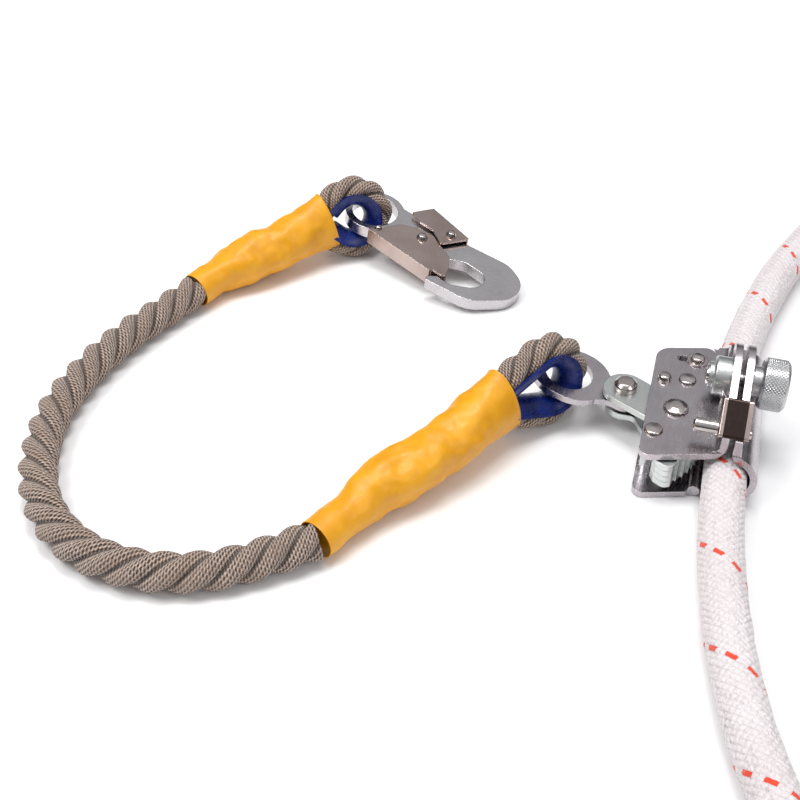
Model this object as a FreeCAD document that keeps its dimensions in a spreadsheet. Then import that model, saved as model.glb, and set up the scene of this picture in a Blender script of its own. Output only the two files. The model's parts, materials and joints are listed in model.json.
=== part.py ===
import FreeCAD, Part
import math
import os

import Sketcher

# Rope grab with its shock lanyard, snap hook and the stretch of lifeline it rides on.
# Millimetres. Row frame: the origin is on the axis of the rope channel, at mid length,
# +Y runs along the channel toward the anchor, +Z is up, the object lies on z = -13.

doc = FreeCAD.newDocument("rope_grab")
V = FreeCAD.Vector

# ---------------------------------------------------------------- driving dimensions
DIMENSIONS = {
    # grab body
    "sheet_thk": 3.0, "channel_rad": 10.0, "plate_gap": 18.6,
    "body_left": -36.0, "near_left": -38.2, "near_slope": 0.306,
    "far_left": 34.6, "far_slope": 0.27,
    "fin_outer": -4.5, "door_fin": 0.7, "fin_crown": 15.0,
    "screw_at": 9.5, "screw_up": 21.5,
    "hinge_at": -11.0, "hinge_up": -10.2, "knuckle_rad": 2.6, "hinge_pin_rad": 1.3,
    # cam lever
    "pivot_x": -24.0, "pivot_y": -5.2, "pivot_rad": 3.5, "cam_thk": 2.9,
    "lever_x": -46.5, "lever_y": 7.1, "lever_end_rad": 9.5,
    # eye ring
    "ring_thk": 3.1, "ring_hole": 10.8, "ring_outer": 16.2, "ring_tilt": 9.3,
    "ring_reach": 23.5,
    # closure screw
    "knob_rad": 10.8, "knob_len": 11.0,
    # ropes
    "lifeline_dia": 18.0, "lanyard_dia": 16.5, "eye_dia": 13.6,
    "eye_bend": 15.2, "thimble_wall": 1.5, "thimble_lip": 14.2,
    # snap hook
    "hook_thk": 6.2, "hook_eye": 12.2, "hook_eye_outer": 15.8, "hook_tilt": 10.3,
    "gate_sheet": 1.1, "lever_sheet": 1.1,
}

sheet = doc.addObject("Spreadsheet::Sheet", "Params")
for row, (alias, value) in enumerate(DIMENSIONS.items(), start=1):
    sheet.set("A%d" % row, alias)
    sheet.set("B%d" % row, str(value))
    sheet.setAlias("B%d" % row, alias)
doc.recompute()


def dim(alias):
    """Value of a cell of the sheet."""
    return float(getattr(sheet, alias))


NODES = []


def keep(obj, label):
    """Registers an object as a node of the part."""
    obj.Label = label
    NODES.append(obj)
    return obj


# ---------------------------------------------------------------- sketch helpers
def rounded(points):
    """Closed outline of (x, y[, radius]) corners as sketch geometry."""
    count = len(points)
    corners = []
    for i in range(count):
        here = V(points[i][0], points[i][1], 0)
        before = V(points[i - 1][0], points[i - 1][1], 0) - here
        after = V(points[(i + 1) % count][0], points[(i + 1) % count][1], 0) - here
        radius = points[i][2] if len(points[i]) > 2 else 0
        if radius <= 0:
            corners.append((here, here, None))
            continue
        before.normalize()
        after.normalize()
        half = before.getAngle(after) / 2
        reach = radius / math.tan(half)
        inward = before + after
        inward.normalize()
        centre = here + inward * (radius / math.sin(half))
        start, end = here + before * reach, here + after * reach
        corners.append((start, end, centre - inward * radius))
    segments = []
    for i in range(count):
        start, end, middle = corners[i]
        if middle:
            segments.append(Part.Arc(start, middle, end))
        nxt = corners[(i + 1) % count][0]
        if end.distanceToPoint(nxt) > 1e-6:
            segments.append(Part.LineSegment(end, nxt))
    return segments


def hull_outline(centre_a, radius_a, centre_b, radius_b):
    """Outline of two circles joined by their outer tangents, with arcs as geometry."""
    a, b = V(centre_a[0], centre_a[1], 0), V(centre_b[0], centre_b[1], 0)
    axis = b - a
    length = axis.Length
    turn = math.atan2(axis.y, axis.x)
    lean = math.acos((radius_a - radius_b) / length)

    def on(centre, radius, angle):
        return centre + V(math.cos(angle), math.sin(angle), 0) * radius
    left_a, right_a = on(a, radius_a, turn + lean), on(a, radius_a, turn - lean)
    left_b, right_b = on(b, radius_b, turn + lean), on(b, radius_b, turn - lean)
    return [
        Part.Arc(left_a, on(a, radius_a, turn + math.pi), right_a),
        Part.LineSegment(right_a, right_b),
        Part.Arc(right_b, on(b, radius_b, turn), left_b),
        Part.LineSegment(left_b, left_a),
    ]


def circle(x, y, radius):
    return Part.Circle(V(x, y, 0), V(0, 0, 1), radius)


def origin_plane(body, role):
    for feature in body.Origin.OriginFeatures:
        if getattr(feature, "Role", "") == role:
            return feature
    raise ValueError(role)


def new_body(label):
    body = doc.addObject("PartDesign::Body", label)
    return keep(body, label)


def new_sketch(body, name, role, geometry, shift=0.0):
    sketch = body.newObject("Sketcher::SketchObject", name)
    sketch.AttachmentSupport = [(origin_plane(body, role), "")]
    sketch.MapMode = "FlatFace"
    sketch.AttachmentOffset = FreeCAD.Placement(V(0, 0, shift), FreeCAD.Rotation())
    for element in geometry:
        if isinstance(element, Part.Arc):
            element = Part.ArcOfCircle(*arc_terms(element))
        sketch.addGeometry(element, False)
    return sketch


def arc_terms(arc):
    """Circle and end angles of a three-point arc, turning the positive way."""
    curve = arc.toShape().Curve
    centre = curve.Center
    ends = (arc.value(arc.FirstParameter), arc.value(arc.LastParameter))
    middle = arc.value((arc.FirstParameter + arc.LastParameter) / 2)
    angles = [math.atan2(p.y - centre.y, p.x - centre.x) for p in (ends[0], middle, ends[1])]
    first, mid, last = angles
    if (mid - first) % (2 * math.pi) > (last - first) % (2 * math.pi):
        first, last = last, first
    if last < first:
        last += 2 * math.pi
    return Part.Circle(centre, V(0, 0, 1), curve.Radius), first, last


def pad(body, sketch, length, midplane=False, flip=False):
    feature = body.newObject("PartDesign::Pad", sketch.Name + "_pad")
    feature.Profile = sketch
    if isinstance(length, str):
        feature.setExpression("Length", length)
    else:
        feature.Length = length
    feature.Midplane = midplane
    feature.Reversed = flip
    sketch.Visibility = False
    return feature


def pocket(body, sketch):
    """Cuts a sketch through everything, both ways."""
    feature = body.newObject("PartDesign::Pocket", sketch.Name + "_cut")
    feature.Profile = sketch
    feature.Type = 1
    feature.Midplane = True
    sketch.Visibility = False
    return feature


FRAME = [(-400, -400), (400, -400), (400, 400), (-400, 400)]


def plate(label, geometry, bottom, thickness, holes=()):
    """Flat sheet part: an outline padded up from z = bottom, with its holes."""
    body = new_body(label)
    drawing = list(geometry) + [circle(x, y, r) for x, y, r in holes]
    outline = new_sketch(body, label + "_outline", "XY_Plane", drawing, bottom)
    pad(body, outline, thickness)
    return body


def turned(label, profile, place, angle=360.0):
    """Turned part: (radius, height) corners spun about the local Z axis."""
    body = new_body(label)
    outline = new_sketch(body, label + "_profile", "XZ_Plane", rounded(profile))
    spin = body.newObject("PartDesign::Revolution", label + "_turn")
    spin.Profile = outline
    spin.ReferenceAxis = (outline, ["V_Axis"])
    spin.Angle = angle
    outline.Visibility = False
    body.Placement = place
    return body


def upright(x, y, z=0.0):
    return FreeCAD.Placement(V(x, y, z), FreeCAD.Rotation())


def along_x(x, y, z):
    """Local Z laid along +X."""
    return FreeCAD.Placement(V(x, y, z), FreeCAD.Rotation(V(0, 1, 0), 90))


def tube(points, diameter, name, report=True):
    """Rope solid: straight runs joined by tangent arcs, one round section swept along."""
    spots = [V(*p) for p in points]
    edges = []
    last = spots[0]
    tightest = 1e9
    for i in range(1, len(spots) - 1):
        before, after = spots[i - 1] - spots[i], spots[i + 1] - spots[i]
        run = min(before.Length, after.Length)
        before.normalize()
        after.normalize()
        half_turn = (math.pi - before.getAngle(after)) / 2
        radius = 0.45 * run / math.tan(half_turn)
        tightest = min(tightest, radius)
        start, end = spots[i] + before * 0.45 * run, spots[i] + after * 0.45 * run
        inward = before + after
        inward.normalize()
        top = spots[i] + inward * (radius / math.cos(half_turn) - radius)
        edges.append(Part.LineSegment(last, start).toShape())
        edges.append(Part.Arc(start, top, end).toShape())
        last = end
    edges.append(Part.LineSegment(last, spots[-1]).toShape())
    wire = Part.Wire(edges)
    heading = edges[0].tangentAt(edges[0].FirstParameter)
    ring = Part.Wire([Part.Circle(spots[0], heading, diameter / 2).toShape()])
    solid = wire.makePipeShell([ring], True, False)
    expected = math.pi * diameter ** 2 / 4 * wire.Length
    if report:
        print("%s length %.0f mm tightest radius %.1f mm volume ratio %.4f"
              % (name, wire.Length, tightest, solid.Volume / expected))
    if abs(solid.Volume / expected - 1) > 0.02:
        raise ValueError("%s: bad sweep" % name)
    return solid


def loose(label, shape, place=None):
    """Part::Feature for a shape that no parametric feature fits."""
    feature = doc.addObject("Part::Feature", label)
    feature.Shape = shape
    if place:
        feature.Placement = place
    return keep(feature, label)


# ---------------------------------------------------------------- levels and outlines
THK = dim("sheet_thk")
FLOOR = -(dim("channel_rad") + THK)
BACK_TOP = FLOOR + THK
FRONT_BOTTOM = BACK_TOP + dim("plate_gap")
FRONT_TOP = FRONT_BOTTOM + THK
LEFT = dim("body_left")
PIVOT = (dim("pivot_x"), dim("pivot_y"))
LEVER_END = (dim("lever_x"), dim("lever_y"))
SCREW_Y, SCREW_Z = dim("screw_at"), dim("screw_up")
SPACER_NEAR = (-31.6, -21.3)
SPACER_FAR = (-21.0, 15.0)
SPRING_POST = (-30.8, 13.4)
LOCK_SLOT = ((-25.0, 30.0), (-18.0, 30.0))
LATCH_PIN_YZ = (-21.4, 19.0)
FIN_SLOPE_START, FIN_SLOPE_END = 20.2, (-16.0, 27.6)
DOOR_NEAR = -30.2


def near_edge(x):
    return dim("near_left") + dim("near_slope") * (x - LEFT)


def far_edge(x):
    return dim("far_left") + dim("far_slope") * (x - LEFT)


def fin_silhouette(below, near, shoulder):
    """Side view (y, z) that stays: all of the part under `below`, and the fin over it."""
    crown, centre = dim("fin_crown"), V(SCREW_Y, SCREW_Z, 0)
    foot = V(FIN_SLOPE_END[0], FIN_SLOPE_END[1], 0)
    reach = foot - centre
    lean = math.acos(crown / reach.Length)
    touch = math.atan2(reach.y, reach.x) - lean
    tangent = centre + V(math.cos(touch), math.sin(touch), 0) * crown
    right = centre + V(crown, 0, 0)
    middle = centre + V(math.cos(touch / 2), math.sin(touch / 2), 0) * crown
    path = [(-90, -40), (90, -40), (90, below), (shoulder, below)]
    if shoulder > right.x + 4:
        path += [(shoulder, below + 3.0), (right.x + 3.5, below + 6.0), (right.x, right.y)]
    else:
        path.append((right.x, right.y))
    lines = [Part.LineSegment(V(*path[i], 0), V(*path[i + 1], 0)) for i in range(len(path) - 1)]
    lines.append(Part.Arc(right, middle, tangent))
    rest = [tangent, foot, V(near, FIN_SLOPE_START, 0), V(near, below, 0),
            V(-90, below, 0), V(-90, -40, 0)]
    lines += [Part.LineSegment(rest[i], rest[i + 1]) for i in range(len(rest) - 1)]
    return lines


def keep_inside(body, name, role, outline):
    """Cuts away everything outside an outline."""
    border = [Part.LineSegment(V(*FRAME[i], 0), V(*FRAME[(i + 1) % 4], 0)) for i in range(4)]
    return pocket(body, new_sketch(body, name, role, border + list(outline)))


def drill(body, name, role, circles):
    return pocket(body, new_sketch(body, name, role, [circle(*c) for c in circles]))


# ---------------------------------------------------------------- front plate
def front_plate():
    fin = dim("fin_outer")
    bend = V(fin - 3.0, FRONT_TOP + 3.0, 0)
    diagonal = V(math.sqrt(0.5), -math.sqrt(0.5), 0)
    top = 60.0
    corner = [V(LEFT, FRONT_BOTTOM, 0), V(bend.x, FRONT_BOTTOM, 0), V(fin + THK, bend.y, 0),
              V(fin + THK, top, 0), V(fin, top, 0), V(fin, bend.y, 0), V(bend.x, FRONT_TOP, 0),
              V(LEFT, FRONT_TOP, 0)]
    profile = [
        Part.LineSegment(corner[0], corner[1]),
        Part.Arc(corner[1], bend + diagonal * 6.0, corner[2]),
        Part.LineSegment(corner[2], corner[3]),
        Part.LineSegment(corner[3], corner[4]),
        Part.LineSegment(corner[4], corner[5]),
        Part.Arc(corner[5], bend + diagonal * 3.0, corner[6]),
        Part.LineSegment(corner[6], corner[7]),
        Part.LineSegment(corner[7], corner[0]),
    ]
    body = new_body("front_plate")
    pad(body, new_sketch(body, "front_profile", "XZ_Plane", profile), 120.0, midplane=True)
    outline = rounded([
        (LEFT, near_edge(LEFT), 4.0), (5.0, near_edge(5.0)), (5.0, 42.6), (-9.2, 42.2),
        (-10.4, 36.4, 1.0), (-11.4, far_edge(-11.4), 4.0), (LEFT, far_edge(LEFT), 8.0)])
    keep_inside(body, "front_plan", "XY_Plane", outline)
    keep_inside(body, "front_side", "YZ_Plane", fin_silhouette(FRONT_TOP + 0.01, -28.0, 42.6))
    slot_near, slot_far = LOCK_SLOT
    drill(body, "front_holes", "XY_Plane", [
        (*PIVOT, 3.52), (*SPACER_NEAR, 1.5), (*SPACER_FAR, 1.5), (*SPRING_POST, 1.5)])
    pocket(body, new_sketch(body, "front_slot", "XY_Plane",
                            hull_outline(slot_near, 1.9, slot_far, 1.9)))
    return body


def front_fin_holes(body):
    hole = new_sketch(body, "front_fin_holes", "YZ_Plane",
                      [circle(SCREW_Y, SCREW_Z, 3.05), circle(*LATCH_PIN_YZ, 2.0)])
    pocket(body, hole)


# ---------------------------------------------------------------- back plate
KNUCKLES = [(-30.0, -12.4), (12.4, 30.0)]
DOOR_KNUCKLE = (-12.0, 12.0)


def back_plate():
    """Flat plate with two hinge knuckles rolled on its right edge."""
    edge = dim("hinge_at") - dim("knuckle_rad") - 0.3
    body = new_body("back_plate_sheet")
    NODES.remove(body)
    outline = rounded([
        (LEFT, near_edge(LEFT), 4.0), (edge, near_edge(edge)), (edge, far_edge(edge)),
        (LEFT, far_edge(LEFT), 8.0)])
    holes = [circle(*PIVOT, 3.52), circle(*SPACER_NEAR, 1.5), circle(*SPACER_FAR, 1.5)]
    pad(body, new_sketch(body, "back_outline", "XY_Plane", outline + holes, FLOOR),
        "Params.sheet_thk")
    pieces = [body]
    for number, (start, end) in enumerate(KNUCKLES):
        barrel = doc.addObject("Part::Cylinder", "back_knuckle_%d" % number)
        barrel.setExpression("Radius", "Params.knuckle_rad")
        barrel.Height = end - start
        barrel.Placement = FreeCAD.Placement(
            V(dim("hinge_at"), end, dim("hinge_up")), FreeCAD.Rotation(V(1, 0, 0), 90))
        web = doc.addObject("Part::Box", "back_web_%d" % number)
        web.Length = 4.0
        web.Width = end - start
        web.setExpression("Height", "Params.sheet_thk * 0.8")
        web.Placement = upright(edge - 1.0, start, FLOOR)
        pieces += [barrel, web]
    joined = doc.addObject("Part::MultiFuse", "back_joined")
    joined.Shapes = pieces
    bore = doc.addObject("Part::Cylinder", "back_bore")
    bore.setExpression("Radius", "Params.hinge_pin_rad + 0.02")
    bore.Height = 90.0
    bore.Placement = FreeCAD.Placement(
        V(dim("hinge_at"), 45.0, dim("hinge_up")), FreeCAD.Rotation(V(1, 0, 0), 90))
    cut = doc.addObject("Part::Cut", "back_plate")
    cut.Base = joined
    cut.Tool = bore
    return keep(cut, "back_plate")


# ---------------------------------------------------------------- rope door
def rope_door():
    """C-shaped door: hinged under the rope, wraps its right side, ends in the right fin."""
    inner, outer = dim("channel_rad"), dim("channel_rad") + THK
    fin = dim("door_fin")
    bend_in, bend_out = 2.5, 2.5 + THK
    bend = V(fin + THK + bend_in, math.sqrt((outer + bend_in) ** 2 - (fin + THK + bend_in) ** 2), 0)
    lean = math.atan2(bend.y, bend.x)
    start = dim("hinge_at") + dim("knuckle_rad") + 0.3
    top = 60.0

    def polar(radius, angle, centre=V(0, 0, 0)):
        return centre + V(math.cos(angle), math.sin(angle), 0) * radius
    half_way = (lean - math.pi / 2) / 2
    bend_mid = (lean + math.pi + math.pi) / 2
    profile = [
        Part.LineSegment(V(start, -outer, 0), V(0, -outer, 0)),
        Part.Arc(V(0, -outer, 0), polar(outer, half_way), polar(outer, lean)),
        Part.Arc(polar(outer, lean), polar(bend_in, bend_mid, bend), V(fin + THK, bend.y, 0)),
        Part.LineSegment(V(fin + THK, bend.y, 0), V(fin + THK, top, 0)),
        Part.LineSegment(V(fin + THK, top, 0), V(fin, top, 0)),
        Part.LineSegment(V(fin, top, 0), V(fin, bend.y, 0)),
        Part.Arc(V(fin, bend.y, 0), polar(bend_out, bend_mid, bend), polar(inner, lean)),
        Part.Arc(polar(inner, lean), polar(inner, half_way), V(0, -inner, 0)),
        Part.LineSegment(V(0, -inner, 0), V(start, -inner, 0)),
        Part.LineSegment(V(start, -inner, 0), V(start, -outer, 0)),
    ]
    body = new_body("rope_door_sheet")
    NODES.remove(body)
    pad(body, new_sketch(body, "door_profile", "XZ_Plane", profile), 120.0, midplane=True)
    outline = rounded([
        (-12.0, DOOR_NEAR), (16.0, DOOR_NEAR), (16.0, far_edge(-4.0)), (-12.0, far_edge(-12.0))])
    keep_inside(body, "door_plan", "XY_Plane", outline)
    keep_inside(body, "door_side", "YZ_Plane", fin_silhouette(bend.y - 1.6, DOOR_NEAR + 0.6, SCREW_Y + dim("fin_crown")))
    pocket(body, new_sketch(body, "door_fin_holes", "YZ_Plane",
                            [circle(SCREW_Y, SCREW_Z, 3.4), circle(*LATCH_PIN_YZ, 2.3)]))
    knuckle_start, knuckle_end = DOOR_KNUCKLE
    barrel = doc.addObject("Part::Cylinder", "door_knuckle")
    barrel.setExpression("Radius", "Params.knuckle_rad")
    barrel.Height = knuckle_end - knuckle_start
    barrel.Placement = FreeCAD.Placement(
        V(dim("hinge_at"), knuckle_end, dim("hinge_up")), FreeCAD.Rotation(V(1, 0, 0), 90))
    web = doc.addObject("Part::Box", "door_web")
    web.Length = 4.0
    web.Width = knuckle_end - knuckle_start
    web.setExpression("Height", "Params.sheet_thk * 0.8")
    web.Placement = upright(start - 3.0, knuckle_start, FLOOR)
    joined = doc.addObject("Part::MultiFuse", "door_joined")
    joined.Shapes = [body, barrel, web]
    bore = doc.addObject("Part::Cylinder", "door_bore")
    bore.setExpression("Radius", "Params.hinge_pin_rad + 0.02")
    bore.Height = 90.0
    bore.Placement = FreeCAD.Placement(
        V(dim("hinge_at"), 45.0, dim("hinge_up")), FreeCAD.Rotation(V(1, 0, 0), 90))
    cut = doc.addObject("Part::Cut", "rope_door")
    cut.Base = joined
    cut.Tool = bore
    return keep(cut, "rope_door")


# ---------------------------------------------------------------- pins, rivets, spacers
def body_fasteners():
    pin = doc.addObject("Part::Cylinder", "hinge_pin")
    pin.setExpression("Radius", "Params.hinge_pin_rad")
    pin.Height = 60.0
    pin.Placement = FreeCAD.Placement(
        V(dim("hinge_at"), 30.0, dim("hinge_up")), FreeCAD.Rotation(V(1, 0, 0), 90))
    keep(pin, "hinge_pin")
    turned("pivot_pin", [(0, FLOOR), (3.5, FLOOR), (3.5, FRONT_TOP), (5.4, FRONT_TOP),
                         (5.0, FRONT_TOP + 1.5, 1.0), (2.4, FRONT_TOP + 2.4, 1.5),
                         (0, FRONT_TOP + 2.5)], upright(*PIVOT))
    for name, (x, y), head in (("rivet_near", SPACER_NEAR, 4.0), ("rivet_far", SPACER_FAR, 3.9)):
        turned(name, [(0, FLOOR), (1.48, FLOOR), (1.48, FRONT_TOP), (head, FRONT_TOP),
                      (head - 0.4, FRONT_TOP + 1.3, 0.8), (0, FRONT_TOP + 1.9)], upright(x, y))
    for name, (x, y) in (("spacer_near", SPACER_NEAR), ("spacer_far", SPACER_FAR)):
        turned(name, [(1.52, BACK_TOP), (3.3, BACK_TOP), (3.3, FRONT_BOTTOM),
                      (1.52, FRONT_BOTTOM)], upright(x, y))
    turned("spring_post", [(0, FRONT_BOTTOM - 0.5), (1.48, FRONT_BOTTOM - 0.5),
                           (1.48, FRONT_TOP), (3.0, FRONT_TOP), (3.0, FRONT_TOP + 1.0),
                           (2.3, FRONT_TOP + 2.6, 1.4), (0, FRONT_TOP + 2.8)],
           upright(*SPRING_POST))
    wall = dim("fin_outer")
    turned("nut_boss", [(3.05, 0), (8.5, 0), (8.5, 6.0), (7.7, 6.8), (5.6, 6.8), (5.6, 8.6),
                        (3.05, 8.6)],
           FreeCAD.Placement(V(wall - 0.02, SCREW_Y, SCREW_Z), FreeCAD.Rotation(V(0, 1, 0), -90)))
    turned("boss_rivet", [(0, 8.65), (4.4, 8.65), (4.0, 9.8, 0.6), (0, 10.3)],
           FreeCAD.Placement(V(wall - 0.02, SCREW_Y, SCREW_Z), FreeCAD.Rotation(V(0, 1, 0), -90)))
    turned("latch_pin", [(0, -16.6), (2.4, -16.6), (3.15, -15.8), (3.15, -6.5), (1.95, -6.5),
                         (1.95, 5.6), (2.6, 5.6), (2.2, 6.8), (0, 6.8)],
           along_x(0, *LATCH_PIN_YZ))


# ---------------------------------------------------------------- closure screw
def closure_screw():
    face = dim("door_fin") + THK
    turned("screw_washer", [(3.3, face + 0.05), (7.4, face + 0.05), (7.4, face + 1.05),
                            (3.3, face + 1.05)], along_x(0, SCREW_Y, SCREW_Z))
    knob = face + 4.4
    end = knob + dim("knob_len")
    radius = dim("knob_rad")
    turned("thumbscrew", [
        (0, -12.9), (2.2, -12.9), (2.98, -12.1), (2.98, face + 1.15), (6.9, face + 1.15),
        (6.9, knob), (radius - 1.0, knob), (radius, knob + 1.0), (radius, end - 1.2),
        (radius - 1.2, end), (0, end)], along_x(0, SCREW_Y, SCREW_Z))


# ---------------------------------------------------------------- latch clip
def latch_clip():
    """Folded U over both fins: a sloping web and two side walls, turning on the latch pin."""
    slope = math.radians(32.7)
    along, down = V(math.cos(slope), math.sin(slope), 0), V(math.sin(slope), -math.cos(slope), 0)
    base = V(-29.5, 21.85, 0)
    sheet_thk, length, depth = 1.2, 17.0, 10.6
    body = new_body("latch_clip")
    outer = [base, base + along * length, base + along * length + down * depth,
             base + along * 6.5 + down * (depth + 2.4), base + down * 5.0]
    half = 5.9
    middle = (dim("fin_outer") + dim("door_fin") + THK) / 2
    block = new_sketch(body, "clip_side", "YZ_Plane",
                       rounded([(p.x, p.y, 1.0) for p in outer]), middle)
    pad(body, block, 2 * half, midplane=True)
    inner = [base + along * -3.0 + down * sheet_thk, base + along * (length + 3.0) + down * sheet_thk,
             base + along * (length + 3.0) + down * 22.0, base + along * -3.0 + down * 22.0]
    channel = new_sketch(body, "clip_channel", "YZ_Plane",
                         rounded([(p.x, p.y) for p in inner]), middle)
    cut = body.newObject("PartDesign::Pocket", "clip_channel_cut")
    cut.Profile = channel
    cut.Length = 2 * (half - sheet_thk)
    cut.Midplane = True
    pocket(body, new_sketch(body, "clip_hole", "YZ_Plane", [circle(*LATCH_PIN_YZ, 2.05)]))
    wire = [(-7.3, -14.0, 24.5), (-7.3, -13.6, 29.5), (-7.3, -10.0, 30.8), (-6.9, -7.2, 27.0),
            (-5.0, -6.6, 24.0)]
    loose("latch_spring", tube(wire, 0.9, "latch_spring"))
    return body


# ---------------------------------------------------------------- park pin in the slot
def park_pin():
    x, y = LOCK_SLOT[1]
    turned("park_pin", [
        (0, FRONT_BOTTOM - 3.6), (2.6, FRONT_BOTTOM - 3.6), (2.6, FRONT_BOTTOM - 2.2),
        (1.8, FRONT_BOTTOM - 2.2), (1.8, FRONT_TOP + 0.8), (3.3, FRONT_TOP + 0.8),
        (3.0, FRONT_TOP + 2.4, 1.0), (0, FRONT_TOP + 3.0)], upright(x, y))
    turned("park_washer", [(1.83, FRONT_TOP + 0.03), (4.6, FRONT_TOP + 0.03),
                           (4.6, FRONT_TOP + 0.77), (1.83, FRONT_TOP + 0.77)], upright(x, y))
    turned("park_washer_inner", [(1.83, FRONT_BOTTOM - 2.15), (4.6, FRONT_BOTTOM - 2.15),
                                 (4.6, FRONT_BOTTOM - 0.05), (1.83, FRONT_BOTTOM - 0.05)],
           upright(x, y))


# ---------------------------------------------------------------- cam lever
TEETH = 10


def cam_radius(angle):
    """Distance of the cam's face from the pivot at an angle (degrees) below +X."""
    return 13.4 + 18.7 * (angle / 90.0) ** 2.1


def cam_point(radius, degrees):
    turn = math.radians(-degrees)
    return PIVOT[0] + radius * math.cos(turn), PIVOT[1] + radius * math.sin(turn)


def cam_corners():
    """Toothed lobe: hub, biting face with saw teeth, rounded toe, and a clear back."""
    first, last, depth = 14.0, 81.5, 1.4
    step = (last - first) / TEETH
    corners = [(PIVOT[0] + 8.9, PIVOT[1] + 9.0, 8.8), cam_point(cam_radius(first), 4.0)]
    for tooth in range(TEETH):
        at = first + tooth * step
        crest = at + 0.8 * step
        corners += [cam_point(cam_radius(at) - depth, at), cam_point(cam_radius(crest), crest)]
    corners += [cam_point(cam_radius(last) - depth, last), (-21.0, -36.4, 1.5), (-24.0, -38.0, 3.0),
                (-28.4, -35.2, 2.0), (-30.0, -31.8, 1.2), (-28.3, -28.8, 1.0), (-24.7, -26.9),
                (-24.6, -19.2), (PIVOT[0] - 8.9, -9.0, 3.0), (PIVOT[0] - 8.9, PIVOT[1] + 9.0, 8.8)]
    return corners


CAM_LEVELS = {"cam_plate_low": -1.15, "cam_plate_high": 1.9}
LINK_LOW, LINK_HIGH = -4.2, 4.95


def cam_lever():
    hole = (*PIVOT, dim("pivot_rad") + 0.03)
    end_hole = (*LEVER_END, 2.55)
    for label, bottom in CAM_LEVELS.items():
        plate(label, rounded(cam_corners()), bottom, "Params.cam_thk", [hole])
    arms = {
        "link_high": (LINK_HIGH, hull_outline(PIVOT, 9.0, LEVER_END, dim("lever_end_rad"))),
        "link_low": (LINK_LOW, rounded([
            (PIVOT[0], 4.0), (LEVER_END[0] + 3.4, 14.2, 2.0), (LEVER_END[0] - 7.4, 14.8, 7.2),
            (LEVER_END[0] - 7.4, -0.3, 7.2), (-40.6, -0.3, 4.0), (-36.6, -7.6, 6.0),
            (-33.0, -13.0, 2.0), (PIVOT[0], -12.0)])),
    }
    for label, (bottom, outline) in arms.items():
        parts = []
        for suffix, drawing in (("_lobe", rounded(cam_corners())), ("_arm", outline)):
            piece = new_body(label + suffix)
            NODES.remove(piece)
            pad(piece, new_sketch(piece, label + suffix + "_outline", "XY_Plane", drawing,
                                  bottom), "Params.cam_thk")
            parts.append(piece)
        joined = doc.addObject("Part::Fuse", label + "_joined")
        joined.Base, joined.Tool = parts
        holes = []
        for number, (x, y, radius) in enumerate((hole, end_hole)):
            cutter = doc.addObject("Part::Cylinder", "%s_hole_%d" % (label, number))
            cutter.Radius = radius
            cutter.Height = 30.0
            cutter.Placement = upright(x, y, bottom - 10.0)
            holes.append(cutter)
        tools = doc.addObject("Part::MultiFuse", label + "_cutters")
        tools.Shapes = holes
        cut = doc.addObject("Part::Cut", label)
        cut.Base, cut.Tool = joined, tools
        keep(cut, label)
    turned("lever_screw", [
        (0, LINK_LOW - 3.6), (2.5, LINK_LOW - 3.6), (2.5, LINK_HIGH + 2.95), (5.0, LINK_HIGH + 2.95),
        (5.1, LINK_HIGH + 5.4, 1.2), (3.4, LINK_HIGH + 7.0, 1.5), (0, LINK_HIGH + 7.2)],
        upright(*LEVER_END))
    turned("lever_nut", [(2.55, LINK_LOW - 3.2), (4.2, LINK_LOW - 3.2), (4.2, LINK_LOW - 0.05),
                         (2.55, LINK_LOW - 0.05)], upright(*LEVER_END))
    # torsion spring round the pivot, under the stack, with one leg out past the coil
    wire, coil, pitch, turns, steps = 1.0, 5.1, 1.5, 2.3, 12
    winding = [(PIVOT[0] + coil * math.cos(2 * math.pi * k / steps),
                PIVOT[1] + coil * math.sin(2 * math.pi * k / steps),
                BACK_TOP + 0.75 + pitch * k / steps) for k in range(int(turns * steps) + 1)]
    loose("cam_spring", tube(winding, wire, "cam_spring"))


# ---------------------------------------------------------------- eye ring
RING_AIM = (-72.2, 11.6)
RING_LEVEL = 1.6


def ring_place():
    """Local X points from the lever screw to the ring's far end, tilted up."""
    heading = math.degrees(math.atan2(RING_AIM[1] - LEVER_END[1], RING_AIM[0] - LEVER_END[0]))
    turn = FreeCAD.Rotation(V(0, 0, 1), heading).multiply(
        FreeCAD.Rotation(V(0, 1, 0), -dim("ring_tilt")))
    return FreeCAD.Placement(V(LEVER_END[0], LEVER_END[1], RING_LEVEL), turn)


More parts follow.
